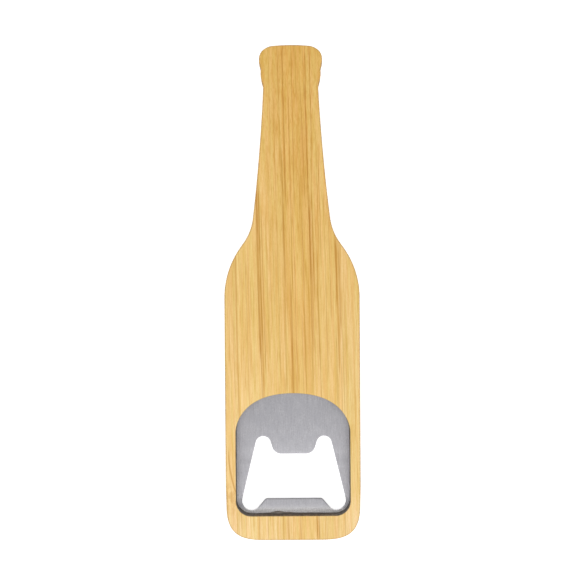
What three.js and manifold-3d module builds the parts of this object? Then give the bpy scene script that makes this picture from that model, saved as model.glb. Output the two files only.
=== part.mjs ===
// Bottle-shaped bar opener: an edge-laminated bamboo board with an arched
// window, and a punched stainless plate glued into a rebate in its back.
//
// Millimetres, +Z up. The opener lies flat on its back: the back face is
// z = 0, the front face is z = BOARD_T, +Y points to the bottle's mouth and
// +X to the right. The origin is the middle of the outline on the back face.

import * as THREE from 'three';
import { mergeVertices } from 'three/addons/utils/BufferGeometryUtils.js';
import Module from 'manifold-3d';

const wasm = await Module();
wasm.setup();

// ---------------------------------------------------------------- dimensions

// board
const LENGTH = 148.0;            // mouth of the bottle to its base
const BOARD_T = 8.0;             // board thickness
const ARRIS = 0.30;              // eased outer edge, front and back
const BASE_HALF = 20.0;          // half width just above the base corners
const BASE_FLAT_HALF = 8.0;      // half of the base's flat stretch
const BASE_PULL_X = 15.15;       // handles and upper end of the base's easing corner
const BASE_PULL_Y = -72.94;
const BASE_SIDE_Y = -63.87;
const BODY_HALF = 20.23;         // half width where the shoulder starts
const SHOULDER_Y = -1.48;        // start of the shoulder curve
const SHOULDER_R = 25.63;        // convex shoulder radius
const SHOULDER_ANGLE = 0.6184;   // steepest slope of the shoulder, radians
const SHOULDER_FLAT = 1.82;      // straight stretch between the two curves
const COLLAR_R = 16.1;           // concave radius into the neck
const NECK_ANGLE = 0.1241;       // slope of the neck above the collar, radians
const NECK_TOP_HALF = 8.26;      // half width below the finish ring
const NECK_TOP_Y = 61.0;
const NECK_PULL = 20.0;          // how far the neck keeps the collar's slope
const RING_HALF = 9.0;           // ring under the lip
const RING_Y = 65.3;
const GROOVE_HALF = 8.92;        // shallow groove between ring and lip
const GROOVE_Y = 66.4;
const STEP_HALF = 9.14;          // small step under the lip
const STEP_Y = 67.5;
const LIP_HALF = 9.44;           // lip of the bottle
const LIP_Y = 68.7;              // lower end of the lip's straight side
const LIP_TOP_Y = 69.9;          // upper end of the lip's straight side
const LIP_CORNER_X = 5.9;        // where the lip's rounded corner meets the top
const LIP_CORNER_Y = 73.7;       // height of the top there; it crowns to LENGTH / 2

// window in the board
const WIN_HALF = 17.15;          // half width of the window
const WIN_TOP = -30.12;          // crown of the arch
const WIN_SPRING = -41.9;        // where the arch meets the straight sides
const WIN_ARCH_A = 14.65;        // pull of the arch along the top
const WIN_ARCH_B = -38.88;       // pull of the arch down the side
const WIN_BOTTOM = -66.84;
const WIN_CORNER_R = 4.5;

// rebate in the back, plate and adhesive
const REBATE_MARGIN = 1.2;       // how far the rebate runs past the window
const REBATE_D = 1.8;            // depth of the rebate from the back face
const PLATE_T = 1.5;             // sheet thickness
const PLATE_Z = 0.1;             // the plate's back, just inside the board's back
const PLATE_PLAY = 0.1;          // side play of the plate in its rebate
const GLUE_SETBACK = 0.15;       // glue stops short of the window's wall

// opener mouth, punched through the plate
const MOUTH_X = 0.2;             // the mouth is punched a little off the plate's middle
const TOOTH_TIP_Y = -48.88;       // tip of the tooth that lifts the cap
const TOOTH_X = 3.82;            // half width of the tooth's straight tip
const TOOTH_R = 2.75;            // rounded corners of the tooth
const EAR_X = 9.23;              // centre of each ear beside the tooth
const EAR_Y = -45.89;
const EAR_R = 2.36;
const FLANK_ANGLE = 13.9 * Math.PI / 180;  // flare of the mouth's sides
const LOBE_X = 12.86;            // centre of each lobe beside the ledge
const LOBE_Y = -63.05;
const LOBE_R = 2.89;
const LOBE_SLOPE = 50 * Math.PI / 180;     // slope from lobe up to the ledge
const LEDGE_Y = -62.42;          // ledge that rests on top of the cap
const LEDGE_R = 1.3;             // rounded corners of the ledge

// lamination
const GRAIN_LEAN = 1.2 * Math.PI / 180;    // the strips lean to the left going up
const JOINTS_X = [-16.70, -9.47, -1.60, 5.98, 13.95];  // glue joints at y = 0
const GLUE_LINE = 0.05;          // width of each joint
const CUT_Y = -50;               // level inside the window, between upper and base pieces

// ---------------------------------------------------------------- outlines

// Right half of a closed, mirrored outline: an array of Vector2 from the
// bottom centre to the top centre, both at x = 0.
function mirrored(half) {
  const left = half.slice(1, -1).reverse().map((p) => new THREE.Vector2(-p.x, p.y));
  return [...half, ...left];
}

function dedupe(points, eps = 1e-3) {
  const out = [];
  for (const p of points) {
    if (!out.length || out[out.length - 1].distanceTo(p) > eps) out.push(p);
  }
  return out;
}

function boardHalf() {
  const p = new THREE.Path();
  p.moveTo(0, -LENGTH / 2);
  p.lineTo(BASE_FLAT_HALF, -LENGTH / 2);
  p.bezierCurveTo(BASE_PULL_X, -LENGTH / 2, BASE_HALF, BASE_PULL_Y, BASE_HALF, BASE_SIDE_Y);
  p.lineTo(BODY_HALF - 0.06, -58);
  p.lineTo(BODY_HALF, SHOULDER_Y);
  // shoulder: convex arc, short straight, concave arc
  p.absarc(BODY_HALF - SHOULDER_R, SHOULDER_Y, SHOULDER_R, 0, SHOULDER_ANGLE, false);
  const s = new THREE.Vector2(
    BODY_HALF - SHOULDER_R + SHOULDER_R * Math.cos(SHOULDER_ANGLE),
    SHOULDER_Y + SHOULDER_R * Math.sin(SHOULDER_ANGLE));
  const q = new THREE.Vector2(
    s.x - SHOULDER_FLAT * Math.sin(SHOULDER_ANGLE),
    s.y + SHOULDER_FLAT * Math.cos(SHOULDER_ANGLE));
  p.lineTo(q.x, q.y);
  const c = new THREE.Vector2(
    q.x + COLLAR_R * Math.cos(SHOULDER_ANGLE),
    q.y + COLLAR_R * Math.sin(SHOULDER_ANGLE));
  p.absarc(c.x, c.y, COLLAR_R, Math.PI + SHOULDER_ANGLE, Math.PI + NECK_ANGLE, true);
  const e = new THREE.Vector2(
    c.x - COLLAR_R * Math.cos(NECK_ANGLE),
    c.y - COLLAR_R * Math.sin(NECK_ANGLE));
  // neck: one easing curve up to the finish ring
  p.bezierCurveTo(
    e.x - NECK_PULL * Math.sin(NECK_ANGLE), e.y + NECK_PULL * Math.cos(NECK_ANGLE),
    NECK_TOP_HALF, NECK_TOP_Y - 0.6,
    NECK_TOP_HALF, NECK_TOP_Y);
  // ring, groove, step and lip
  p.bezierCurveTo(NECK_TOP_HALF, NECK_TOP_Y + 1.9, RING_HALF - 0.1, RING_Y - 2.2, RING_HALF, RING_Y);
  p.quadraticCurveTo(RING_HALF, GROOVE_Y - 0.2, GROOVE_HALF, GROOVE_Y);
  p.quadraticCurveTo(GROOVE_HALF + 0.03, GROOVE_Y + 0.6, STEP_HALF, STEP_Y);
  p.quadraticCurveTo(STEP_HALF + 0.08, STEP_Y + 0.8, LIP_HALF, LIP_Y);
  p.lineTo(LIP_HALF, LIP_TOP_Y);
  p.bezierCurveTo(LIP_HALF, LIP_TOP_Y + 2.1, LIP_CORNER_X + 1.9, LIP_CORNER_Y - 0.45, LIP_CORNER_X, LIP_CORNER_Y);
  p.quadraticCurveTo(LIP_CORNER_X / 2, LENGTH / 2, 0, LENGTH / 2);
  return dedupe(p.getPoints(14));
}

function windowHalf() {
  const p = new THREE.Path();
  p.moveTo(0, WIN_BOTTOM);
  p.lineTo(WIN_HALF - WIN_CORNER_R, WIN_BOTTOM);
  p.absarc(WIN_HALF - WIN_CORNER_R, WIN_BOTTOM + WIN_CORNER_R, WIN_CORNER_R, -Math.PI / 2, 0, false);
  p.lineTo(WIN_HALF, WIN_SPRING);
  p.bezierCurveTo(WIN_HALF, WIN_ARCH_B, WIN_ARCH_A, WIN_TOP, 0, WIN_TOP);
  return dedupe(p.getPoints(20));
}

function mouthHalf() {
  const p = new THREE.Path();
  const lobeNormal = Math.PI + (Math.PI / 2 - LOBE_SLOPE);      // where the slope leaves the lobe
  const slopeStart = new THREE.Vector2(
    LOBE_X + LOBE_R * Math.cos(lobeNormal),
    LOBE_Y + LOBE_R * Math.sin(lobeNormal));
  // sharp corner of the ledge, then its rounding
  const cornerX = slopeStart.x - (LEDGE_Y - slopeStart.y) / Math.tan(LOBE_SLOPE);
  const t = LEDGE_R * Math.tan(LOBE_SLOPE / 2);
  p.moveTo(0, LEDGE_Y);
  p.lineTo(cornerX - t, LEDGE_Y);
  p.absarc(cornerX - t, LEDGE_Y - LEDGE_R, LEDGE_R, Math.PI / 2, Math.PI / 2 - LOBE_SLOPE, true);
  p.lineTo(slopeStart.x, slopeStart.y);
  // lobe, round the bottom and up to the flank
  p.absarc(LOBE_X, LOBE_Y, LOBE_R, lobeNormal, 2 * Math.PI + FLANK_ANGLE, false);
  // flank up to the ear
  p.lineTo(EAR_X + EAR_R * Math.cos(FLANK_ANGLE), EAR_Y + EAR_R * Math.sin(FLANK_ANGLE));
  // ear, then the slanted side of the tooth: a line tangent to both circles
  const toothY = TOOTH_TIP_Y + TOOTH_R;
  const gap = Math.hypot(EAR_X - TOOTH_X, EAR_Y - toothY);
  const lean = Math.acos((TOOTH_R + EAR_R) / gap) ;
  p.absarc(EAR_X, EAR_Y, EAR_R, FLANK_ANGLE, Math.PI - lean, false);
  p.lineTo(TOOTH_X + TOOTH_R * Math.cos(lean), toothY - TOOTH_R * Math.sin(lean));
  p.absarc(TOOTH_X, toothY, TOOTH_R, -lean, -Math.PI / 2, true);
  p.lineTo(0, TOOTH_TIP_Y);
  return dedupe(p.getPoints(10));
}

// Parallel outline at a distance d outside a closed, convex outline.
function offset(points, d) {
  const n = points.length;
  return points.map((p, i) => {
    const a = points[(i + n - 1) % n];
    const b = points[(i + 1) % n];
    const u = new THREE.Vector2().subVectors(p, a).normalize();
    const v = new THREE.Vector2().subVectors(b, p).normalize();
    const nu = new THREE.Vector2(u.y, -u.x);
    const nv = new THREE.Vector2(v.y, -v.x);
    const m = new THREE.Vector2().addVectors(nu, nv);
    m.multiplyScalar(d / (1 + nu.dot(nv)));
    return new THREE.Vector2().addVectors(p, m);
  });
}

// ---------------------------------------------------------------- solids

function prism(outline, z0, z1, holes = []) {
  const shape = new THREE.Shape(outline);
  for (const h of holes) shape.holes.push(new THREE.Path(h));
  const g = new THREE.ExtrudeGeometry(shape, { depth: z1 - z0, bevelEnabled: false, steps: 1 });
  g.translate(0, 0, z0);
  return g;
}

function easedPrism(outline, z0, z1, arris) {
  const g = new THREE.ExtrudeGeometry(new THREE.Shape(outline), {
    depth: z1 - z0 - 2 * arris,
    steps: 1,
    bevelEnabled: true,
    bevelThickness: arris,
    bevelSize: arris,
    bevelOffset: -arris,
    bevelSegments: 1,
  });
  g.translate(0, 0, z0 + arris);
  return g;
}

function toManifold(geometry) {
  const g = geometry.clone();
  g.deleteAttribute('normal');
  g.deleteAttribute('uv');
  const m = mergeVertices(g, 1e-5);
  return new wasm.Manifold(new wasm.Mesh({
    numProp: 3,
    vertProperties: new Float32Array(m.attributes.position.array),
    triVerts: new Uint32Array(m.index.array),
  }));
}

function toGeometry(manifold) {
  const m = manifold.getMesh();
  const g = new THREE.BufferGeometry();
  g.setAttribute('position', new THREE.BufferAttribute(new Float32Array(m.vertProperties), 3));
  g.setIndex(new THREE.BufferAttribute(new Uint32Array(m.triVerts), 1));
  g.computeVertexNormals();
  return g;
}

// The whole board: outline with eased edges, less the window and the rebate.
const windowOutline = mirrored(windowHalf());
const board = toManifold(easedPrism(mirrored(boardHalf()), 0, BOARD_T, ARRIS))
  .subtract(toManifold(prism(windowOutline, -1, BOARD_T + 1)))
  .subtract(toManifold(prism(offset(windowOutline, REBATE_MARGIN), -1, REBATE_D)));

// Slab between two glue joints, and between two levels in y.
function slab(left, right, y0, y1) {
  const k = Math.tan(GRAIN_LEAN);
  const xl = (y) => (left === null ? -40 : JOINTS_X[left] - k * y + GLUE_LINE / 2);
  const xr = (y) => (right === null ? 40 : JOINTS_X[right] - k * y - GLUE_LINE / 2);
  return toManifold(prism([
    new THREE.Vector2(xl(y0), y0),
    new THREE.Vector2(xr(y0), y0),
    new THREE.Vector2(xr(y1), y1),
    new THREE.Vector2(xl(y1), y1),
  ], -2, BOARD_T + 2));
}

function strip(left, right, y0 = -90, y1 = 90) {
  return toGeometry(board.intersect(slab(left, right, y0, y1)));
}

// ---------------------------------------------------------------- assembly

const opener = new THREE.Group();

function add(name, geometry, color, roughness, metalness) {
  const mesh = new THREE.Mesh(
    geometry,
    new THREE.MeshStandardMaterial({ color, roughness, metalness, name }));
  mesh.name = name;
  opener.add(mesh);
  return mesh;
}

// bamboo strips, left to right; the window cuts strips 2 to 5 in two
add('strip_1_left_edge', strip(null, 0), 0xe9c58a, 0.55, 0);
add('strip_2_upper', strip(0, 1, CUT_Y, 90), 0xecca92, 0.55, 0);
add('strip_2_base', strip(0, 1, -90, CUT_Y), 0xecca92, 0.55, 0);
add('strip_3_upper', strip(1, 2, CUT_Y, 90), 0xe6c085, 0.55, 0);
add('strip_3_base', strip(1, 2, -90, CUT_Y), 0xe6c085, 0.55, 0);
add('strip_4_upper', strip(2, 3, CUT_Y, 90), 0xe2b97a, 0.55, 0);
add('strip_4_base', strip(2, 3, -90, CUT_Y), 0xe2b97a, 0.55, 0);
add('strip_5_upper', strip(3, 4, CUT_Y, 90), 0xe5be82, 0.55, 0);
add('strip_5_base', strip(3, 4, -90, CUT_Y), 0xe5be82, 0.55, 0);
add('strip_6_right_edge', strip(4, null), 0xebc890, 0.55, 0);

// stainless plate with the opener mouth
add('opener_plate', prism(
  offset(windowOutline, REBATE_MARGIN - PLATE_PLAY), PLATE_Z, PLATE_Z + PLATE_T,
  [mirrored(mouthHalf()).map((v) => new THREE.Vector2(v.x + MOUTH_X, v.y))]), 0xb4b8bc, 0.32, 1);

// glue between the plate's rim and the floor of the rebate
add('plate_adhesive', prism(
  offset(windowOutline, REBATE_MARGIN - 2 * PLATE_PLAY), PLATE_Z + PLATE_T, REBATE_D,
  [offset(windowOutline, GLUE_SETBACK)]), 0x6b4a26, 0.5, 0);

export default opener;
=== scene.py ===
import math

import bmesh
import bpy
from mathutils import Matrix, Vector
from mathutils.geometry import tessellate_polygon


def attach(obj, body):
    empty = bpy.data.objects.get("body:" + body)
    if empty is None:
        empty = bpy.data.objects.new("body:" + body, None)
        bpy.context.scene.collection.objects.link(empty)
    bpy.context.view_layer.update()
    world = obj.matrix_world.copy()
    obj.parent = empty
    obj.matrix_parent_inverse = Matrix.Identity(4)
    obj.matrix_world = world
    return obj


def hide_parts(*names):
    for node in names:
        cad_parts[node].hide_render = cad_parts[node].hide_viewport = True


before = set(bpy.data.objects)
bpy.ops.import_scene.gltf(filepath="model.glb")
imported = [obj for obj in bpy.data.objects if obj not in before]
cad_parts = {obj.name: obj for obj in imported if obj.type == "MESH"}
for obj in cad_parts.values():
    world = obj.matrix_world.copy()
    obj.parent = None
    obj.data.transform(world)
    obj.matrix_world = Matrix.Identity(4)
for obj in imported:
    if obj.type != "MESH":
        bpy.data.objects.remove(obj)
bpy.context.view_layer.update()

# A flat bottle-shaped opener: six edge-glued bamboo strips, cut to a bottle's
# outline with an arched window, and a punched stainless plate glued into a
# rebate in the back. Lengths below are in millimetres in the CAD's own frame,
# and every mesh is scaled to metres when it is made.

MM = 0.001

# ------------------------------------------------------------ dimensions (mm)

LENGTH = 148.0
BOARD_T = 8.0
EDGE_R = 0.30
BASE_HALF, BASE_FLAT_HALF = 20.0, 8.0
BASE_PULL_X, BASE_PULL_Y, BASE_SIDE_Y = 15.15, -72.94, -63.87
BODY_HALF, SHOULDER_Y = 20.23, -1.48
SHOULDER_R, SHOULDER_ANGLE, SHOULDER_FLAT = 25.63, 0.6184, 1.82
COLLAR_R, NECK_ANGLE = 16.1, 0.1241
NECK_TOP_HALF, NECK_TOP_Y, NECK_PULL = 8.26, 61.0, 20.0
RING_HALF, RING_Y = 9.0, 65.3
GROOVE_HALF, GROOVE_Y = 8.92, 66.4
STEP_HALF, STEP_Y = 9.14, 67.5
LIP_HALF, LIP_Y, LIP_TOP_Y = 9.44, 68.7, 69.9
LIP_CORNER_X, LIP_CORNER_Y = 5.9, 73.7

WIN_HALF, WIN_TOP, WIN_SPRING = 17.15, -30.12, -41.9
WIN_ARCH_A, WIN_ARCH_B = 14.65, -38.88
WIN_BOTTOM, WIN_CORNER_R = -66.84, 4.5

REBATE_MARGIN, REBATE_D = 1.2, 1.8
PLATE_T, PLATE_Z, PLATE_PLAY = 1.5, 0.1, 0.1
DIE_ROLL = 0.07

MOUTH_X = 0.2
TOOTH_TIP_Y, TOOTH_X, TOOTH_R = -48.88, 3.82, 2.75
EAR_X, EAR_Y, EAR_R = 9.23, -45.89, 2.36
FLANK_ANGLE = math.radians(13.9)
LOBE_X, LOBE_Y, LOBE_R = 12.86, -63.05, 2.89
LOBE_SLOPE = math.radians(50)
LEDGE_Y, LEDGE_R = -62.42, 1.3

GRAIN_LEAN = math.radians(1.2)
LEAN = math.tan(GRAIN_LEAN)
JOINTS_X = [-16.70, -9.47, -1.60, 5.98, 13.95]
CUT_Y = -50.0

# colour multipliers at the base and at the neck, blended along the length
DRIFT_BASE = (1.125, 1.20, 1.46)
DRIFT_NECK = (0.955, 0.915, 0.785)

# ------------------------------------------------------------ outlines


def arc(cx, cy, r, a0, a1, n):
    return [(cx + r * math.cos(a0 + (a1 - a0) * i / n), cy + r * math.sin(a0 + (a1 - a0) * i / n)) for i in range(n + 1)]


def bezier(p0, p1, p2, p3, n):
    out = []
    for i in range(n + 1):
        t = i / n
        s = 1 - t
        out.append(tuple(s ** 3 * a + 3 * s * s * t * b + 3 * s * t * t * c + t ** 3 * d for a, b, c, d in zip(p0, p1, p2, p3)))
    return out


def quadratic(p0, p1, p2, n):
    return [tuple((1 - i / n) ** 2 * a + 2 * (1 - i / n) * (i / n) * b + (i / n) ** 2 * c for a, b, c in zip(p0, p1, p2)) for i in range(n + 1)]


def straight(p0, p1, n):
    return [tuple(a + (b - a) * i / n for a, b in zip(p0, p1)) for i in range(n + 1)]


def tidy(points, eps=2e-3):
    out = []
    for p in points:
        if not out or math.dist(out[-1], p) > eps:
            out.append(p)
    return out


def mirrored(half):
    half = tidy(half)
    return half + [(-x, y) for x, y in reversed(half[1:-1])]


def board_outline():
    p = straight((0, -LENGTH / 2), (BASE_FLAT_HALF, -LENGTH / 2), 4)
    p += bezier((BASE_FLAT_HALF, -LENGTH / 2), (BASE_PULL_X, -LENGTH / 2), (BASE_HALF, BASE_PULL_Y), (BASE_HALF, BASE_SIDE_Y), 48)
    p += straight(p[-1], (BODY_HALF - 0.06, -58), 5)
    p += straight(p[-1], (BODY_HALF, SHOULDER_Y), 30)
    a = SHOULDER_ANGLE
    p += arc(BODY_HALF - SHOULDER_R, SHOULDER_Y, SHOULDER_R, 0, a, 22)
    sx, sy = p[-1]
    q = (sx - SHOULDER_FLAT * math.sin(a), sy + SHOULDER_FLAT * math.cos(a))
    p += straight(p[-1], q, 3)
    c = (q[0] + COLLAR_R * math.cos(a), q[1] + COLLAR_R * math.sin(a))
    p += arc(c[0], c[1], COLLAR_R, math.pi + a, math.pi + NECK_ANGLE, 16)
    e = p[-1]
    p += bezier(
        e, (e[0] - NECK_PULL * math.sin(NECK_ANGLE), e[1] + NECK_PULL * math.cos(NECK_ANGLE)),
        (NECK_TOP_HALF, NECK_TOP_Y - 0.6), (NECK_TOP_HALF, NECK_TOP_Y), 34)
    p += bezier((NECK_TOP_HALF, NECK_TOP_Y), (NECK_TOP_HALF, NECK_TOP_Y + 1.9), (RING_HALF - 0.1, RING_Y - 2.2), (RING_HALF, RING_Y), 22)
    p += quadratic((RING_HALF, RING_Y), (RING_HALF, GROOVE_Y - 0.2), (GROOVE_HALF, GROOVE_Y), 8)
    p += quadratic((GROOVE_HALF, GROOVE_Y), (GROOVE_HALF + 0.03, GROOVE_Y + 0.6), (STEP_HALF, STEP_Y), 8)
    p += quadratic((STEP_HALF, STEP_Y), (STEP_HALF + 0.08, STEP_Y + 0.8), (LIP_HALF, LIP_Y), 8)
    p += straight((LIP_HALF, LIP_Y), (LIP_HALF, LIP_TOP_Y), 3)
    p += bezier((LIP_HALF, LIP_TOP_Y), (LIP_HALF, LIP_TOP_Y + 2.1), (LIP_CORNER_X + 1.9, LIP_CORNER_Y - 0.45), (LIP_CORNER_X, LIP_CORNER_Y), 26)
    p += quadratic((LIP_CORNER_X, LIP_CORNER_Y), (LIP_CORNER_X / 2, LENGTH / 2), (0, LENGTH / 2), 10)
    return mirrored(p)


def window_outline():
    p = straight((0, WIN_BOTTOM), (WIN_HALF - WIN_CORNER_R, WIN_BOTTOM), 30)
    p += arc(WIN_HALF - WIN_CORNER_R, WIN_BOTTOM + WIN_CORNER_R, WIN_CORNER_R, -math.pi / 2, 0, 24)
    p += straight(p[-1], (WIN_HALF, WIN_SPRING), 24)
    p += bezier((WIN_HALF, WIN_SPRING), (WIN_HALF, WIN_ARCH_B), (WIN_ARCH_A, WIN_TOP), (0, WIN_TOP), 60)
    return mirrored(p)


def mouth_outline():
    normal = math.pi + (math.pi / 2 - LOBE_SLOPE)
    start = (LOBE_X + LOBE_R * math.cos(normal), LOBE_Y + LOBE_R * math.sin(normal))
    corner = start[0] - (LEDGE_Y - start[1]) / math.tan(LOBE_SLOPE)
    t = LEDGE_R * math.tan(LOBE_SLOPE / 2)
    p = straight((0, LEDGE_Y), (corner - t, LEDGE_Y), 10)
    p += arc(corner - t, LEDGE_Y - LEDGE_R, LEDGE_R, math.pi / 2, math.pi / 2 - LOBE_SLOPE, 10)
    p += straight(p[-1], start, 5)
    p += arc(LOBE_X, LOBE_Y, LOBE_R, normal, 2 * math.pi + FLANK_ANGLE, 40)
    p += straight(p[-1], (EAR_X + EAR_R * math.cos(FLANK_ANGLE), EAR_Y + EAR_R * math.sin(FLANK_ANGLE)), 20)
    tooth_y = TOOTH_TIP_Y + TOOTH_R
    lean = math.acos((TOOTH_R + EAR_R) / math.hypot(EAR_X - TOOTH_X, EAR_Y - tooth_y))
    p += arc(EAR_X, EAR_Y, EAR_R, FLANK_ANGLE, math.pi - lean, 30)
    p += arc(TOOTH_X, tooth_y, TOOTH_R, -lean, -math.pi / 2, 20)
    p += straight(p[-1], (0, TOOTH_TIP_Y), 4)
    return [(x + MOUTH_X, y) for x, y in mirrored(p)]


def offset(loop, d):
    """The loop moved outward by d (inward if negative), vertex by vertex. The loop runs anticlockwise."""
    n = len(loop)
    out = []
    for i, p in enumerate(loop):
        a, b = loop[i - 1], loop[(i + 1) % n]
        u = (Vector(p) - Vector(a)).normalized()
        v = (Vector(b) - Vector(p)).normalized()
        nu, nv = Vector((u.y, -u.x)), Vector((v.y, -v.x))
        m = (nu + nv) * (d / (1 + nu.dot(nv)))
        out.append((p[0] + m.x, p[1] + m.y))
    return out


# ------------------------------------------------------------ mesh building


class Shell:
    """A closed mesh put together from loops of points, in millimetres, with a burn value at each vertex."""

    def __init__(self):
        self.bm = bmesh.new()
        self.burn = self.bm.verts.layers.float.new("burn")
        self.window = self.bm.verts.layers.float.new("window")
        self.part = self.bm.faces.layers.int.new("part")

    def loop(self, points, z, burn=0.0, window=0.0):
        verts = []
        for i, (x, y) in enumerate(points):
            v = self.bm.verts.new((x, y, z[i] if isinstance(z, (list, tuple)) else z))
            v[self.burn] = burn
            v[self.window] = window
            verts.append(v)
        return verts

    def wall(self, lower, upper, part=0):
        """Quads between two loops. The faces point outward where lower runs anticlockwise and upper is above it."""
        n = len(lower)
        for i in range(n):
            j = (i + 1) % n
            f = self.bm.faces.new((lower[i], lower[j], upper[j], upper[i]))
            f[self.part] = part

    def cap(self, outer, hole, up, part):
        loops = [[v.co.copy() for v in outer]]
        verts = list(outer)
        if hole:
            loops.append([v.co.copy() for v in hole])
            verts += list(hole)
        for tri in tessellate_polygon(loops):
            a, b, c = (verts[i] for i in tri)
            area = (b.co.x - a.co.x) * (c.co.y - a.co.y) - (b.co.y - a.co.y) * (c.co.x - a.co.x)
            if (area > 0) != up:
                a, b = b, a
            f = self.bm.faces.new((a, b, c))
            f[self.part] = part


def mark_edges(bm, angle=35.0):
    for f in bm.faces:
        f.smooth = True
    for e in bm.edges:
        if len(e.link_faces) == 2 and e.calc_face_angle(0.0) > math.radians(angle):
            e.smooth = False


def to_object(bm, name, material):
    """Writes the mesh in metres and returns its object."""
    bmesh.ops.scale(bm, vec=(MM, MM, MM), verts=bm.verts)
    bm.normal_update()
    mesh = bpy.data.meshes.new(name)
    bm.to_mesh(mesh)
    bm.free()
    mesh.materials.append(material)
    obj = bpy.data.objects.new(name, mesh)
    bpy.context.scene.collection.objects.link(obj)
    return obj


def round_over(r, steps, z_side, z_face):
    """(inset, z) pairs from the side of a solid over a quarter round to its face."""
    sign = 1 if z_face > z_side else -1
    out = []
    for i in range(steps + 1):
        a = math.pi / 2 * i / steps
        out.append((r * (1 - math.cos(a)), z_side + sign * r * math.sin(a)))
    return out


def build_board():
    s = Shell()
    outer, window = board_outline(), window_outline()
    rebate = offset(window, REBATE_MARGIN)
    win_r = 0.06

    # outer side, from the back face's edge band up to the front face's
    rings = [(EDGE_R + 0.30, 0.0, 0.0), (EDGE_R + 0.06, 0.0, 0.30)]
    for inset, z in reversed(round_over(EDGE_R, 5, EDGE_R, 0.0)):
        rings.append((inset, z, 0.60 + 0.40 * (z / EDGE_R)))
    for k in range(1, 8):
        rings.append((0.0, EDGE_R + (BOARD_T - 2 * EDGE_R) * k / 8, 1.0))
    for inset, z in round_over(EDGE_R, 5, BOARD_T - EDGE_R, BOARD_T):
        rings.append((inset, z, 0.40 + 0.60 * ((BOARD_T - z) / EDGE_R)))
    rings += [(EDGE_R + 0.06, BOARD_T, 0.24), (EDGE_R + 0.30, BOARD_T, 0.0)]
    loops = [s.loop(offset(outer, -inset) if inset else outer, z, burn) for inset, z, burn in rings]
    for a, b in zip(loops, loops[1:]):
        s.wall(a, b, 1)

    # window, from the front face's edge band down to the rebate, then out to the back face
    inner = [(0.42, BOARD_T, 0.0), (win_r + 0.03, BOARD_T, 0.15)]
    for inset, z in reversed(round_over(win_r, 3, BOARD_T - win_r, BOARD_T)):
        inner.append((inset, z, 0.50))
    for k in range(1, 7):
        inner.append((0.0, BOARD_T - win_r - (BOARD_T - win_r - REBATE_D) * k / 6, 1.0))
    inner_loops = [s.loop(offset(window, o) if o else window, z, burn, 1.0) for o, z, burn in inner]
    rebate_in = s.loop(rebate, REBATE_D, 0.9)
    rebate_edge = s.loop(rebate, 0.0, 0.5)
    rebate_band = s.loop(offset(window, REBATE_MARGIN + 0.4), 0.0, 0.0)
    chain = inner_loops + [rebate_in, rebate_edge, rebate_band]
    for a, b in zip(chain, chain[1:]):
        s.wall(a, b, 2)

    s.cap(loops[-1], inner_loops[0], True, 3)
    s.cap(loops[0], rebate_band, False, 4)
    bmesh.ops.recalc_face_normals(s.bm, faces=s.bm.faces)
    return s.bm


def dissolve_cap(bm, part):
    """Joins a flat face's triangles into one face."""
    layer = bm.faces.layers.int["part"]
    edges = [e for e in bm.edges if len(e.link_faces) == 2 and all(f[layer] == part for f in e.link_faces)]
    if edges:
        bmesh.ops.dissolve_edges(bm, edges=edges, use_verts=False, use_face_split=False)


def cut_strip(board, left, right, low=None, high=None):
    """A copy of the board cut to the strip between two glue joints, closed on its cut sides."""
    bm = board.copy()
    normal = Vector((math.cos(GRAIN_LEAN), math.sin(GRAIN_LEAN), 0))

    def cut(point, towards):
        geom = list(bm.verts) + list(bm.edges) + list(bm.faces)
        bmesh.ops.bisect_plane(bm, geom=geom, dist=1e-5, plane_co=point, plane_no=towards, clear_outer=True)
        rim = [e for e in bm.edges if e.is_boundary]
        if rim:
            made = bmesh.ops.holes_fill(bm, edges=rim, sides=0)["faces"]
            layer = bm.faces.layers.int["part"]
            for f in made:
                f[layer] = 9

    if left is not None:
        cut(Vector((JOINTS_X[left], 0, 0)), -normal)
    if right is not None:
        cut(Vector((JOINTS_X[right], 0, 0)), normal)
    if low is not None:
        doomed = [v for v in bm.verts if v.co.y < low]
        bmesh.ops.delete(bm, geom=doomed, context="VERTS")
    if high is not None:
        doomed = [v for v in bm.verts if v.co.y > high]
        bmesh.ops.delete(bm, geom=doomed, context="VERTS")
    for part in (3, 4):
        dissolve_cap(bm, part)
    bmesh.ops.recalc_face_normals(bm, faces=bm.faces)
    mark_edges(bm)
    return bm


def build_plate():
    s = Shell()
    outer = offset(window_outline(), REBATE_MARGIN - PLATE_PLAY)
    mouth = mouth_outline()
    z0, z1 = PLATE_Z, PLATE_Z + PLATE_T
    r = 0.12
    rings = [(r + 0.4, z0)] + [(i, z) for i, z in reversed(round_over(r, 3, z0 + r, z0))]
    rings += round_over(r, 3, z1 - r, z1) + [(r + 0.4, z1)]
    loops = [s.loop(offset(outer, -i) if i else outer, z) for i, z in rings]
    for a, b in zip(loops, loops[1:]):
        s.wall(a, b, 1)
    # mouth: a rounded shoulder where the punch went in, a torn band below it and a fine edge at the back
    inner = [(DIE_ROLL + 0.45, z1, 0.0), (DIE_ROLL + 0.20, z1, 0.2)]
    inner += [(i, z, 0.5) for i, z in reversed(round_over(DIE_ROLL, 5, z1 - DIE_ROLL, z1))]
    inner += [(0.0, z1 - DIE_ROLL - 0.45, 1.0), (0.03, z1 - DIE_ROLL - 0.6, 1.0), (0.05, z0 + 0.08, 1.0)]
    inner += [(0.10, z0, 0.6), (0.5, z0, 0.0)]
    inner_loops = [s.loop(offset(mouth, o) if o else mouth, z, b) for o, z, b in inner]
    for a, b in zip(inner_loops, inner_loops[1:]):
        s.wall(a, b, 2)
    s.cap(loops[-1], inner_loops[0], True, 3)
    s.cap(loops[0], inner_loops[-1], False, 4)
    bmesh.ops.recalc_face_normals(s.bm, faces=s.bm.faces)
    mark_edges(s.bm)
    return s.bm


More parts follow.
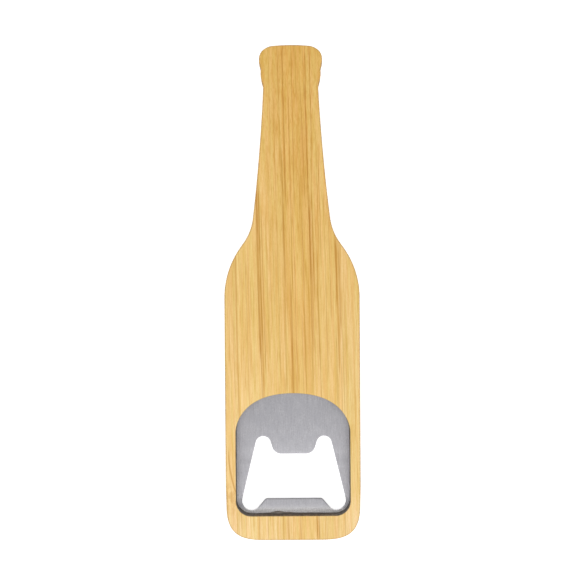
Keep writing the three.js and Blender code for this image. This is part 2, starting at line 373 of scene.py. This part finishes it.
def build_glue():
    """The glue ring under the window's edge, with what was squeezed out onto the plate along the foot of the wall."""
    s = Shell()
    window = window_outline()
    # finer steps than the outline's own
    dense = []
    for i, p in enumerate(window):
        q = window[(i + 1) % len(window)]
        n = max(1, int(math.dist(p, q) / 0.35))
        dense += straight(p, q, n)[:-1]
    z0, z1 = PLATE_Z + PLATE_T, REBATE_D
    outer = offset(dense, REBATE_MARGIN - 2 * PLATE_PLAY)

    def squeeze(x, y):
        wave = 0.5 + 0.5 * math.sin(0.9 * x + 1.7 * math.sin(0.23 * y + 1.0) + 0.6 * y)
        fine = 0.5 + 0.5 * math.sin(2.7 * x + 2.1 * y + 1.3)
        e = 0.03 + 0.06 * wave + 0.02 * fine
        h = 0.24 + 0.07 * wave
        if y < WIN_BOTTOM + 3:
            bump = math.exp(-((x + 4.6) / 1.9) ** 2) + 0.35 * math.exp(-((x + 1.2) / 1.3) ** 2)
            tail = 0.5 + 0.5 * math.tanh((x + 7) / 2) * math.tanh((9 - x) / 3)
            e += 0.60 * bump + 0.05 * tail
            h += 0.55 * bump
        return e, h

    sizes = [squeeze(x, y) for x, y in dense]
    n = len(dense)

    def inward(k):
        out = []
        for i, p in enumerate(dense):
            a, b = dense[i - 1], dense[(i + 1) % n]
            t = (Vector(b) - Vector(a)).normalized()
            out.append((p[0] - t.y * sizes[i][0] * k, p[1] + t.x * sizes[i][0] * k))
        return out

    loops = [s.loop(outer, z0), s.loop(outer, z1), s.loop(offset(dense, 0.001), z1)]
    profile = [(0.004, 1.0), (0.25, 0.86), (0.5, 0.62), (0.75, 0.36), (0.93, 0.13), (1.0, 0.0)]
    for k, zk in profile:
        loops.append(s.loop(inward(k), [z0 + h * zk for _, h in sizes]))
    for a, b in zip(loops, loops[1:] + loops[:1]):
        s.wall(a, b, 1)
    bmesh.ops.recalc_face_normals(s.bm, faces=s.bm.faces)
    mark_edges(s.bm, 50)
    return s.bm


# ------------------------------------------------------------ materials


class Graph:
    """Short names for building a node tree."""

    def __init__(self, name):
        self.mat = bpy.data.materials.new(name)
        self.mat.use_nodes = True
        self.nt = self.mat.node_tree
        self.nt.nodes.clear()

    def node(self, kind, **props):
        n = self.nt.nodes.new(kind)
        for k, v in props.items():
            setattr(n, k, v)
        return n

    def put(self, socket, value):
        if isinstance(value, bpy.types.NodeSocket):
            self.nt.links.new(value, socket)
        elif value is not None:
            socket.default_value = value

    def math(self, op, a, b=None, c=None, clamp=False):
        n = self.node("ShaderNodeMath", operation=op, use_clamp=clamp)
        for s, v in zip(n.inputs, (a, b, c)):
            self.put(s, v)
        return n.outputs[0]

    def add(self, a, b):
        return self.math("ADD", a, b)

    def sub(self, a, b):
        return self.math("SUBTRACT", a, b)

    def mul(self, a, b, clamp=False):
        return self.math("MULTIPLY", a, b, clamp=clamp)

    def ramp(self, value, a, b, c=0.0, d=1.0, smooth=True):
        n = self.node("ShaderNodeMapRange", interpolation_type="SMOOTHSTEP" if smooth else "LINEAR")
        for s, v in zip(n.inputs[:5], (value, a, b, c, d)):
            self.put(s, v)
        return n.outputs[0]

    def vec(self, x, y, z):
        n = self.node("ShaderNodeCombineXYZ")
        for s, v in zip(n.inputs, (x, y, z)):
            self.put(s, v)
        return n.outputs[0]

    def noise(self, vec, scale=1.0, detail=2.0, rough=0.5, distortion=0.0):
        n = self.node("ShaderNodeTexNoise", noise_dimensions="3D")
        self.put(n.inputs["Vector"], vec)
        self.put(n.inputs["Scale"], scale)
        self.put(n.inputs["Detail"], detail)
        self.put(n.inputs["Roughness"], rough)
        self.put(n.inputs["Distortion"], distortion)
        return n.outputs[0]

    def cells(self, vec, scale=1.0, randomness=1.0):
        """Distance to the nearest of a scatter of points, and that point's own random value."""
        n = self.node("ShaderNodeTexVoronoi", voronoi_dimensions="2D", feature="F1")
        self.put(n.inputs["Vector"], vec)
        self.put(n.inputs["Scale"], scale)
        self.put(n.inputs["Randomness"], randomness)
        pick = self.node("ShaderNodeSeparateColor")
        self.nt.links.new(n.outputs["Color"], pick.inputs[0])
        return n.outputs["Distance"], pick.outputs[0]

    def mix(self, fac, a, b, blend="MIX"):
        n = self.node("ShaderNodeMix", data_type="RGBA", blend_type=blend, clamp_factor=True)
        self.put(n.inputs[0], fac)
        self.put(n.inputs[6], a)
        self.put(n.inputs[7], b)
        return n.outputs[2]

    def grey(self, value):
        n = self.node("ShaderNodeCombineColor")
        for s in n.inputs[:3]:
            self.put(s, value)
        return n.outputs[0]

    def coords(self):
        """Object coordinates in millimetres: x, y, z."""
        t = self.node("ShaderNodeTexCoord")
        n = self.node("ShaderNodeSeparateXYZ")
        self.nt.links.new(t.outputs["Object"], n.inputs[0])
        return [self.mul(n.outputs[i], 1000.0) for i in range(3)]

    def attribute(self, name):
        n = self.node("ShaderNodeAttribute", attribute_name=name)
        return n.outputs["Fac"]

    def bump(self, height, strength, distance):
        n = self.node("ShaderNodeBump")
        n.inputs["Strength"].default_value = strength
        n.inputs["Distance"].default_value = distance
        self.put(n.inputs["Height"], height)
        return n.outputs["Normal"]

    def finish(self, **inputs):
        p = self.node("ShaderNodeBsdfPrincipled")
        out = self.node("ShaderNodeOutputMaterial")
        self.nt.links.new(p.outputs[0], out.inputs[0])
        for k, v in inputs.items():
            self.put(p.inputs[k], v)
        return self.mat


def srgb(r, g, b):
    def lin(c):
        c /= 255.0
        return c / 12.92 if c <= 0.04045 else ((c + 0.055) / 1.055) ** 2.4
    return (lin(r), lin(g), lin(b), 1.0)


# Visible lines and bands of darker fibre in the strips, each as
# (place along x at the low end, at the high end, half width, soft side: 0 both, -1 left, 1 right, low y, high y, strength).
# The places are measured across the grain, so a line that follows it has one place all the way.
FIGURE = {
    1: [(-17.8, -17.8, 0.30, 0, -34, -8, 0.40), (-16.85, -16.75, 0.34, 0, -70, 14, 0.51), (-18.9, -18.9, 0.22, 0, -30, -2, 0.28),
        (-17.76, -17.76, 0.25, 0, -74, -66, 0.52)],
    2: [(-16.58, -16.58, 0.30, 0, -4, 14, 0.70), (-16.6, -16.6, 0.29, 0, -36, 0, 0.36), (-9.85, -9.90, 0.62, 0, -20, 32, 1.00), (-9.62, -9.62, 0.28, -1, -34, -16, 0.57),
        (-13.55, -13.75, 0.27, 0, -34, 10, 0.38), (-13.0, -12.95, 0.20, 0, -24, 12, 0.38), (-11.6, -11.6, 0.22, 0, -30, 0, 0.19),
        (-15.67, -15.67, 0.22, 0, -74, -66, 0.42), (-11.63, -11.63, 0.25, 0, -74, -66, 0.52), (-15.0, -15.0, 0.18, 0, -30, 8, 0.23)],
    3: [(-9.30, -9.40, 0.40, 1, -16, 32, 1.00), (-9.30, -9.30, 0.34, 1, -34, -14, 0.57), (-8.45, -8.60, 0.29, 0, -24, 24, 0.61),
        (-7.25, -7.30, 0.25, 0, -20, 22, 0.41), (-5.4, -5.3, 0.20, 0, -8, 20, 0.29), (-4.0, -4.05, 0.25, 0, -26, 60, 0.49),
        (-2.25, -1.95, 0.42, -1, -30, 2, 0.51), (-1.85, -1.95, 0.46, -1, 2, 42, 0.90), (-2.45, -2.45, 0.29, 0, 38, 74, 0.65),
        (-6.3, -6.3, 0.18, 0, -4, 44, 0.35), (-5.25, -5.2, 0.25, 0, 44, 74, 0.46), (-8.98, -8.98, 0.22, 0, -74, -66, 0.72),
        (-6.28, -6.28, 0.18, 0, -74, -66, 0.37), (-4.43, -4.43, 0.22, 0, -74, -66, 0.72), (-2.97, -2.97, 0.55, 0, -74, -66, 0.47)],
    4: [(-0.30, -0.28, 0.36, -1, -33, 3, 0.63), (-0.18, -0.18, 0.18, 0, -31, 1, 0.54), (-1.2, -1.05, 0.34, 0, 28, 74, 0.75),
        (0.25, 0.45, 0.25, 0, 0, 60, 0.61), (0.95, 0.95, 0.22, 0, -26, 26, 0.43), (1.40, 1.65, 0.25, 0, 26, 74, 0.52),
        (2.7, 2.85, 0.27, 0, -30, -8, 0.38), (2.8, 2.8, 0.22, 0, 56, 74, 0.35), (3.55, 3.6, 0.27, 0, -30, 24, 0.52),
        (4.6, 4.1, 0.22, 0, 28, 62, 0.52), (5.80, 5.86, 0.50, 0, 2, 26, 1.00), (5.72, 5.76, 0.34, 0, -16, 4, 0.54), (5.66, 5.48, 0.27, 0, 20, 62, 0.95),
        (5.60, 5.78, 0.22, 0, 58, 74, 0.85), (5.15, 5.15, 0.20, 0, 58, 74, 0.72), (5.55, 5.60, 0.34, 0, -34, -14, 0.40),
        (0.77, 0.77, 0.30, 0, -74, -66, 0.37), (5.75, 5.75, 0.30, -1, -74, -66, 0.72)],
    5: [(6.12, 6.12, 0.25, 1, -16, 28, 0.51), (6.72, 6.65, 0.27, 0, 0, 30, 1.00), (6.5, 6.9, 0.25, 0, 26, 44, 0.58),
        (7.05, 7.05, 0.25, 0, 42, 74, 0.96), (7.80, 7.75, 0.27, 0, -20, 12, 0.77), (7.95, 7.88, 0.22, 0, -34, -14, 0.84),
        (8.35, 8.35, 0.20, 0, 14, 44, 0.58), (9.0, 8.9, 0.25, 0, 10, 42, 0.61), (10.2, 10.1, 0.25, 0, -24, 30, 0.46),
        (11.55, 11.4, 0.27, 0, -8, 24, 0.49), (13.45, 13.40, 0.50, 0, -4, 16, 1.00), (13.55, 13.60, 0.40, 0, -24, 0, 0.54),
        (12.85, 12.85, 0.35, 0, -36, -12, 0.46), (6.4, 6.4, 0.22, 0, -34, -12, 0.28), (6.2, 6.2, 0.40, 0, -74, -66, 0.72),
        (8.53, 8.53, 0.22, 0, -74, -66, 0.52), (12.0, 12.0, 0.22, 0, -74, -66, 0.26)],
    6: [(14.2, 14.1, 0.55, 1, -12, 14, 0.63), (14.85, 14.8, 0.25, 0, -42, -12, 0.57), (14.15, 14.15, 0.22, 0, -40, -10, 0.45),
        (15.6, 15.6, 0.20, 0, -62, -4, 0.38), (13.98, 13.98, 0.25, 0, -74, -66, 0.63), (18.0, 18.0, 0.22, 0, -60, 0, 0.20)],
}


def bamboo(name, seed, pale, honey, line, figure, knot=None):
    """Bamboo with its fibres along the strip: broad tone changes, streaks of fibre bundles, fine dark threads and
    dashes, the heavier lines of the figure, an oiled satin surface, edges browned by the cutter, and painted shade in
    the window's corners and at the foot of its walls."""
    g = Graph(name)
    x, y, z = g.coords()
    # across the strip, following its lean; the fine grain also wanders slowly
    straight_across = g.add(x, g.mul(y, LEAN))
    wander = g.noise(g.vec(seed * 3.1, g.mul(y, 0.020), 0.0), 1.0, 1.0, 0.4)
    waver = g.noise(g.vec(g.mul(x, 0.10), g.mul(y, 0.075), seed), 1.0, 1.0, 0.5)
    across = g.add(straight_across, g.add(g.mul(g.sub(wander, 0.5), 0.5), g.mul(g.sub(waver, 0.5), 0.16)))

    # the marks get shorter up the neck
    climb = g.math("MAXIMUM", g.add(y, -8.0), 0.0)
    length = g.add(y, g.mul(g.mul(climb, climb), 0.020))

    def along(kx, ky, detail=2.0, rough=0.5, shift=0.0):
        return g.noise(g.vec(g.add(g.mul(across, kx), seed * 7.3 + shift), g.add(g.mul(length, ky), seed * 1.9 - shift), g.mul(z, kx)), 1.0, detail, rough)

    broad = g.ramp(along(0.34, 0.014, 2.0, 0.5), 0.30, 0.70, 0.18, 0.82)
    hue = g.ramp(along(1.1, 0.026, 2.0, 0.5, 5.0), 0.36, 0.64)
    streak = g.ramp(along(1.25, 0.036, 3.0, 0.55, 11.0), 0.42, 0.66)
    thread = g.ramp(along(3.1, 0.070, 2.0, 0.6, 23.0), 0.48, 0.68)
    dash = g.ramp(along(4.6, 0.120, 1.0, 0.5, 37.0), 0.58, 0.70)
    fine = g.ramp(along(7.0, 0.19, 1.0, 0.5, 91.0), 0.40, 0.64)
    light = g.ramp(along(2.6, 0.040, 2.0, 0.5, 53.0), 0.54, 0.74)

    pore = g.noise(g.vec(g.mul(across, 4.2), g.mul(y, 1.5), g.mul(z, 4.2)), 1.0, 2.0, 0.7)

    def bundles(kx, ky, shift, reach):
        d, pick = g.cells(g.vec(g.add(g.mul(across, kx), seed * 5.7 + shift), g.add(g.mul(length, ky), g.add(g.mul(z, 0.4), shift)), 0.0))
        return g.mul(g.ramp(d, reach * 0.15, reach, 1.0, 0.0), g.ramp(pick, 0.15, 0.85))

    # cut bundles of fibres: thin dark dashes, long ones and short ones
    long_bundle = bundles(1.25, 0.022, 3.0, 0.23)
    short_bundle = bundles(1.9, 0.060, 9.0, 0.26)

    def tint(fac, r, gr, b):
        return g.mix(fac, colour, g.mix(1.0, colour, (r, gr, b, 1), "MULTIPLY"))

    colour = g.mix(broad, pale, honey)
    # lengthwise drift: deeper towards the mouth of the bottle, paler towards the base
    drift = g.ramp(y, -74.0, 72.0, 0.0, 1.0, smooth=False)
    colour = g.mix(drift, g.mix(1.0, colour, (*DRIFT_BASE, 1), "MULTIPLY"), g.mix(1.0, colour, (*DRIFT_NECK, 1), "MULTIPLY"))
    colour = tint(g.ramp(y, -58.0, -70.0), 1.0, 1.005, 1.10)
    colour = g.mix(hue, tint(1.0, 0.980, 1.012, 0.965), tint(1.0, 1.018, 0.985, 1.025))
    colour = tint(g.mul(light, 0.45), 1.07, 1.11, 1.20)
    colour = tint(g.mul(fine, 0.55), 0.91, 0.86, 0.70)
    colour = tint(g.ramp(pore, 0.36, 0.64, 0.0, 0.85), 0.955, 0.930, 0.840)
    colour = tint(g.mul(streak, 0.55), 0.90, 0.81, 0.53)
    colour = tint(g.mul(thread, 0.42), 0.86, 0.77, 0.50)
    colour = tint(g.mul(dash, 0.45), 0.78, 0.66, 0.40)
    colour = tint(g.mul(short_bundle, 0.50), 0.82, 0.68, 0.38)
    colour = tint(g.mul(long_bundle, 0.62), 0.80, 0.66, 0.36)

    # the figure: lines and bands of dense fibre, uneven along their length
    uneven = g.ramp(along(1.6, 0.07, 2.0, 0.5, 71.0), 0.30, 0.64, 0.62, 1.20)
    wobble = g.mul(g.sub(g.noise(g.vec(g.mul(x, 0.35), g.mul(y, 0.06), seed + 4.0), 1.0, 1.0, 0.5), 0.5), 0.12)
    measured = g.add(straight_across, wobble)
    total = None
    for place_low, place_high, half, soft, low, high, strength in figure:
        if abs(place_high - place_low) > 0.01:
            place = g.ramp(y, low, high, place_low, place_high, smooth=False)
        else:
            place = place_low
        d = g.sub(measured, place)
        wide, tight = half * (1.6 if soft else 1.0), half * (0.5 if soft else 1.0)
        below = g.ramp(d, -(wide if soft < 0 else tight), 0.0)
        above = g.ramp(d, 0.0, wide if soft > 0 else tight, 1.0, 0.0)
        fade = 2.0 if high - low < 12 else 4.0
        ends = g.mul(g.ramp(y, low - fade, low + fade), g.ramp(y, high - fade, high + fade, 1.0, 0.0))
        band = g.mul(g.mul(g.mul(below, above), ends), strength)
        total = band if total is None else g.math("MAXIMUM", total, band)
    if total is not None:
        colour = g.mix(g.mul(total, uneven, clamp=True), colour, line)

    if knot is not None:
        # where a culm's joint crossed the strip: a thin curved line and a browner patch under it
        kx, ky, patch = knot
        s = g.math("DIVIDE", g.sub(ky, y), 10.7)
        curve = g.add(kx, g.add(g.mul(g.mul(s, s), 1.64), g.mul(s, 0.36)))
        d = g.math("ABSOLUTE", g.sub(x, curve))
        ring = g.mul(g.ramp(d, 0.0, 0.42, 1.0, 0.0), g.mul(g.ramp(s, -0.35, 0.1), g.ramp(s, 1.0, 1.25, 1.0, 0.0)))
        cloud = g.noise(g.vec(g.mul(x, 0.9), g.mul(y, 0.42), g.mul(z, 0.9)), 1.0, 3.0, 0.6)
        zone = g.mul(g.ramp(y, patch - 7.5, patch - 1.5), g.ramp(y, patch + 1.0, patch + 6.0, 1.0, 0.0))
        blot = g.mul(g.ramp(cloud, 0.42, 0.60), zone)
        colour = g.mix(g.math("MAXIMUM", g.mul(ring, 0.80), g.mul(blot, 0.42)), colour, line)

    # browned edges: the cut walls, fading over the last fraction of a millimetre of the faces
    burn = g.attribute("burn")
    scorch = g.noise(g.vec(g.mul(x, 1.7), g.mul(y, 1.7), g.mul(z, 0.35)), 1.0, 3.0, 0.6)
    char_and_shade = g.mix(g.ramp(scorch, 0.34, 0.66), srgb(166, 126, 80), srgb(120, 90, 57))
    char_and_shade = g.mix(g.mul(g.ramp(streak, 0.2, 0.9), 0.35), char_and_shade, srgb(182, 142, 92))
    # the window's walls are charred darkest brown, and painted shade deepens them: near black in the bottom corners and
    # darker towards the foot of the wall above the plate
    inside = g.attribute("window")
    wall_char_and_shade = g.mix(g.ramp(scorch, 0.36, 0.64), srgb(112, 91, 64), srgb(82, 69, 51))
    # painted shade: near-black colour mixed into the window's bottom corners
    corner = g.mul(g.ramp(g.math("ABSOLUTE", x), 11.0, 15.5), g.ramp(y, -60.0, -64.0))
    wall_char_and_shade = g.mix(g.mul(corner, 0.7), wall_char_and_shade, srgb(52, 50, 48))
    # painted shade: the wall's colour darkens towards its foot, deep in the recess above the plate
    wall_char_and_shade = g.mix(g.ramp(z, 2.6, 6.4), g.mix(0.60, wall_char_and_shade, srgb(66, 62, 58)), wall_char_and_shade)
    # the window walls' colour, painted shade included, joins the edge colour here
    char_and_shade = g.mix(inside, char_and_shade, wall_char_and_shade)
    edge = g.ramp(g.add(burn, g.mul(g.sub(scorch, 0.5), 0.30)), 0.15, 0.95)
    colour = g.mix(edge, colour, char_and_shade)

    rough = g.add(g.add(0.50, g.mul(thread, 0.06)), g.add(g.mul(edge, 0.18), g.mul(dash, 0.05)))
    height = g.sub(g.add(g.mul(fine, 0.3), g.mul(streak, -0.3)), g.add(g.mul(dash, 0.9), g.mul(thread, 0.5)))
    normal = g.bump(height, 0.35, 0.00004)
    return g.finish(**{"Base Color": colour, "Roughness": rough, "Normal": normal, "Specular IOR Level": 0.30})


def stainless():
    """Plain stainless sheet, brushed along the opener's length."""
    g = Graph("brushed_stainless")
    x, y, z = g.coords()
    fine = g.noise(g.vec(g.mul(x, 9.0), g.mul(y, 0.16), g.mul(z, 9.0)), 1.0, 3.0, 0.65)
    short = g.noise(g.vec(g.mul(x, 3.6), g.add(g.mul(y, 0.35), 17.0), g.mul(z, 3.6)), 1.0, 3.0, 0.6)
    cloud = g.noise(g.vec(g.mul(x, 0.45), g.add(g.mul(y, 0.30), 5.0), 0.0), 1.0, 3.0, 0.6)
    scratch = g.noise(g.vec(g.mul(x, 14.0), g.add(g.mul(y, 0.45), 31.0), 3.0), 1.0, 1.0, 0.5)
    hair = g.ramp(scratch, 0.66, 0.78)
    speckle = g.noise(g.vec(g.mul(x, 2.6), g.mul(y, 1.9), 11.0), 1.0, 3.0, 0.7)
    tone = g.add(g.mul(g.ramp(fine, 0.3, 0.7), 0.40), g.add(g.mul(g.ramp(short, 0.3, 0.7), 0.28), g.mul(g.ramp(speckle, 0.36, 0.64), 0.32)))
    colour = g.mix(tone, (0.268, 0.264, 0.279, 1), (0.450, 0.444, 0.467, 1))
    colour = g.mix(g.mul(g.ramp(cloud, 0.35, 0.65), 0.50), colour, (0.325, 0.321, 0.344, 1))
    colour = g.mix(g.mul(hair, 0.40), colour, (0.47, 0.466, 0.485, 1))
    # punched walls: a shinier sheared band over a duller torn band
    burn = g.attribute("burn")
    # a thin dark line painted on the rim along the ledge and round the lobes
    rim_line = g.mul(g.ramp(burn, 0.12, 0.50), g.ramp(y, -61.2, -62.0))
    colour = g.mix(g.mul(rim_line, 0.75), colour, (0.10, 0.098, 0.105, 1))
    torn = g.mul(g.ramp(burn, 0.6, 1.0), g.ramp(z, PLATE_Z + 0.75, PLATE_Z + 0.95, 1.0, 0.0))
    grit = g.noise(g.vec(g.mul(x, 5.0), g.mul(y, 5.0), g.mul(z, 9.0)), 1.0, 3.0, 0.7)
    colour = g.mix(g.mul(torn, 0.8), colour, g.mix(grit, (0.24, 0.24, 0.25, 1), (0.42, 0.42, 0.43, 1)))
    # painted light: a pale, mottled, mostly non-metallic film on the sheet beside the foot of the wall below the ledge,
    # standing in for the light the sheet catches there
    light_mottle = g.noise(g.vec(g.mul(x, 0.55), g.mul(y, 1.1), 21.0), 1.0, 4.0, 0.65)
    foot = g.ramp(g.add(y, g.mul(g.sub(light_mottle, 0.5), 1.4)), -64.0, -66.0)
    front = g.ramp(z, PLATE_Z + 0.02, PLATE_Z + 0.14)
    painted_light_mask = g.mul(g.mul(foot, front), g.ramp(light_mottle, 0.20, 0.50, 0.78, 1.0))
    painted_light_colour = g.mix(g.ramp(y, -64.8, -66.0), (0.62, 0.615, 0.64, 1), (1.0, 0.99, 1.0, 1))
    colour = g.mix(painted_light_mask, colour, g.mix(g.mul(g.ramp(speckle, 0.4, 0.6), 0.35), painted_light_colour, (0.46, 0.455, 0.475, 1)))
    # painted light: the sheet's colour is lifted a little beside the long walls and towards the tooth, standing in for
    # light there
    painted_light_to_tooth = g.mul(g.ramp(y, -35.0, -48.0, 0.0, 0.62), g.ramp(y, -58.0, -54.0))
    painted_light_near_walls = g.math("MAXIMUM", g.ramp(g.math("ABSOLUTE", x), 11.5, 16.0), painted_light_to_tooth)
    colour = g.mix(g.mul(painted_light_near_walls, g.sub(1.0, painted_light_mask)), colour, g.mix(1.0, colour, (1.16, 1.16, 1.16, 1), "MULTIPLY"))
    rough = g.add(g.add(0.30, g.mul(g.sub(fine, 0.5), 0.14)), g.mul(torn, 0.30))
    height = g.add(g.mul(fine, 0.7), g.mul(g.sub(grit, 0.5), g.mul(torn, 3.0)))
    normal = g.bump(height, 0.25, 0.00003)
    # the face rolls over gently towards the punched edge, along the ledge and under the tooth
    ledge = g.ramp(y, LEDGE_Y - 3.2, LEDGE_Y, 0.0, 1.0, smooth=False)
    tooth = g.ramp(y, TOOTH_TIP_Y + 3.0, TOOTH_TIP_Y, 0.0, 1.0, smooth=False)
    rolled = g.sub(g.mul(g.mul(ledge, ledge), -0.8), g.mul(g.mul(tooth, tooth), g.ramp(y, -52.0, -50.0, 0.0, 0.3)))
    roll = g.node("ShaderNodeBump")
    roll.inputs["Strength"].default_value = 1.0
    roll.inputs["Distance"].default_value = 0.000065
    g.put(roll.inputs["Height"], rolled)
    g.put(roll.inputs["Normal"], normal)
    normal = roll.outputs["Normal"]
    # the drop in Metallic under the painted light film is part of that painted light
    return g.finish(**{"Base Color": colour, "Metallic": g.ramp(painted_light_mask, 0.0, 1.0, 1.0, 0.15, smooth=False), "Roughness": rough, "Normal": normal,
                       "Anisotropic": 0.85, "Tangent": g.vec(1.0, 0.0, 0.0)})


def glue():
    """Cured amber-brown glue, glossy, with dust and fine bubbles in it."""
    g = Graph("cured_glue")
    x, y, z = g.coords()
    cloud = g.noise(g.vec(g.mul(x, 0.8), g.mul(y, 0.8), g.mul(z, 2.0)), 1.0, 3.0, 0.6)
    speck = g.ramp(g.noise(g.vec(g.mul(x, 6.0), g.mul(y, 6.0), g.mul(z, 6.0)), 1.0, 1.0, 0.5), 0.62, 0.74)
    colour = g.mix(g.ramp(cloud, 0.35, 0.65), srgb(112, 104, 98), srgb(140, 132, 124))
    colour = g.mix(g.mul(speck, 0.4), colour, srgb(168, 160, 150))
    rough = g.add(0.22, g.mul(cloud, 0.20))
    return g.finish(**{"Base Color": colour, "Roughness": rough, "Normal": g.bump(cloud, 0.3, 0.0001), "Specular IOR Level": 0.5})


# ------------------------------------------------------------ the object

board = build_board()
TONES = {
    1: (srgb(238, 203, 136), srgb(224, 186, 112), srgb(198, 146, 66)),
    2: (srgb(241, 208, 142), srgb(229, 192, 117), srgb(192, 140, 60)),
    3: (srgb(238, 203, 135), srgb(225, 185, 108), srgb(192, 141, 58)),
    4: (srgb(235, 196, 122), srgb(220, 175, 95), srgb(182, 126, 44)),
    5: (srgb(238, 203, 136), srgb(225, 185, 108), srgb(188, 134, 50)),
    6: (srgb(239, 206, 142), srgb(226, 189, 117), srgb(192, 142, 60)),
}
KNOT = {1: (-19.2, -48.8, -61.0)}
STRIPS = [
    ("strip_1_left_edge", 1, None, 0, None, None, "bamboo_pale"),
    ("strip_2_upper", 2, 0, 1, CUT_Y, None, "bamboo_pale"),
    ("strip_2_base", 2, 0, 1, None, CUT_Y, "bamboo_pale"),
    ("strip_3_upper", 3, 1, 2, CUT_Y, None, "bamboo_honey"),
    ("strip_3_base", 3, 1, 2, None, CUT_Y, "bamboo_honey"),
    ("strip_4_upper", 4, 2, 3, CUT_Y, None, "bamboo_gold"),
    ("strip_4_base", 4, 2, 3, None, CUT_Y, "bamboo_gold"),
    ("strip_5_upper", 5, 3, 4, CUT_Y, None, "bamboo_honey"),
    ("strip_5_base", 5, 3, 4, None, CUT_Y, "bamboo_honey"),
    ("strip_6_right_edge", 6, 4, None, None, None, "bamboo_pale"),
]
materials = {i: bamboo(f"bamboo_strip_{i}", float(i), *TONES[i], FIGURE[i], KNOT.get(i)) for i in TONES}
for node, number, left, right, low, high, slot in STRIPS:
    piece = to_object(cut_strip(board, left, right, low, high), "wood_" + node, materials[number])
    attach(piece, "root")
    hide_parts(node)
board.free()

plate = to_object(build_plate(), "punched_plate", stainless())
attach(plate, "root")
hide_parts("opener_plate")

bead = to_object(build_glue(), "glue_bead", glue())
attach(bead, "root")
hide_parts("plate_adhesive")

# ------------------------------------------------------------ floor, light, camera

floor_mesh = bpy.data.meshes.new("floor")
fb = bmesh.new()
bmesh.ops.create_circle(fb, cap_ends=True, segments=96, radius=3.0)
fb.to_mesh(floor_mesh)
fb.free()
floor = bpy.data.objects.new("floor", floor_mesh)
bpy.context.scene.collection.objects.link(floor)
floor.location.z = -0.0002
fg = Graph("pale_floor")
floor_mesh.materials.append(fg.finish(**{
    "Base Color": (0.86, 0.86, 0.86, 1), "Roughness": 0.9, "Specular IOR Level": 0.0,
    "Emission Color": (1, 1, 1, 1), "Emission Strength": 0.62}))

world = bpy.data.worlds.new("studio")
bpy.context.scene.world = world
world.use_nodes = True
wn = world.node_tree
wn.nodes.clear()
tc = wn.nodes.new("ShaderNodeTexCoord")
sep = wn.nodes.new("ShaderNodeSeparateXYZ")
rmp = wn.nodes.new("ShaderNodeMapRange")
bg = wn.nodes.new("ShaderNodeBackground")
wo = wn.nodes.new("ShaderNodeOutputWorld")
wn.links.new(tc.outputs["Generated"], sep.inputs[0])
wn.links.new(sep.outputs[2], rmp.inputs[0])
rmp.interpolation_type = "SMOOTHSTEP"
for i, v in enumerate((0.2, 1.0, 0.90, 0.62), start=1):
    rmp.inputs[i].default_value = v
wn.links.new(rmp.outputs[0], bg.inputs[1])
bg.inputs[0].default_value = (1.0, 1.0, 1.0, 1)
wn.links.new(bg.outputs[0], wo.inputs[0])


def softbox(name, location, target, size, power, colour=(1, 1, 1)):
    data = bpy.data.lights.new(name, "AREA")
    data.shape = "RECTANGLE"
    data.size, data.size_y = size
    data.energy = power
    data.color = colour
    o = bpy.data.objects.new(name, data)
    bpy.context.scene.collection.objects.link(o)
    o.location = location
    o.rotation_euler = (Vector(target) - Vector(location)).to_track_quat("-Z", "Y").to_euler()
    return o


softbox("key_left", (-0.45, 0.0, 1.05), (0, 0, 0), (0.6, 1.2), 0.9)
softbox("key_right", (0.45, 0.0, 1.05), (0, 0, 0), (0.6, 1.2), 0.9)
softbox("top_front", (0.0, -0.62, 1.20), (0, -0.03, 0), (1.5, 0.72), 5.6)

cam_data = bpy.data.cameras.new("camera")
cam_data.sensor_width = 36.0
cam_data.lens = 86.92
cam_data.clip_start, cam_data.clip_end = 0.01, 10.0
cam = bpy.data.objects.new("camera", cam_data)
bpy.context.scene.collection.objects.link(cam)
cam.location = (0.00015, 0.0, 0.430)
cam.rotation_euler = (0.0, 0.0, math.radians(-0.369))
bpy.context.scene.camera = cam

view = bpy.context.scene.view_settings
view.view_transform = "Standard"
view.look = "None"
view.exposure = 0.0
view.gamma = 1.0
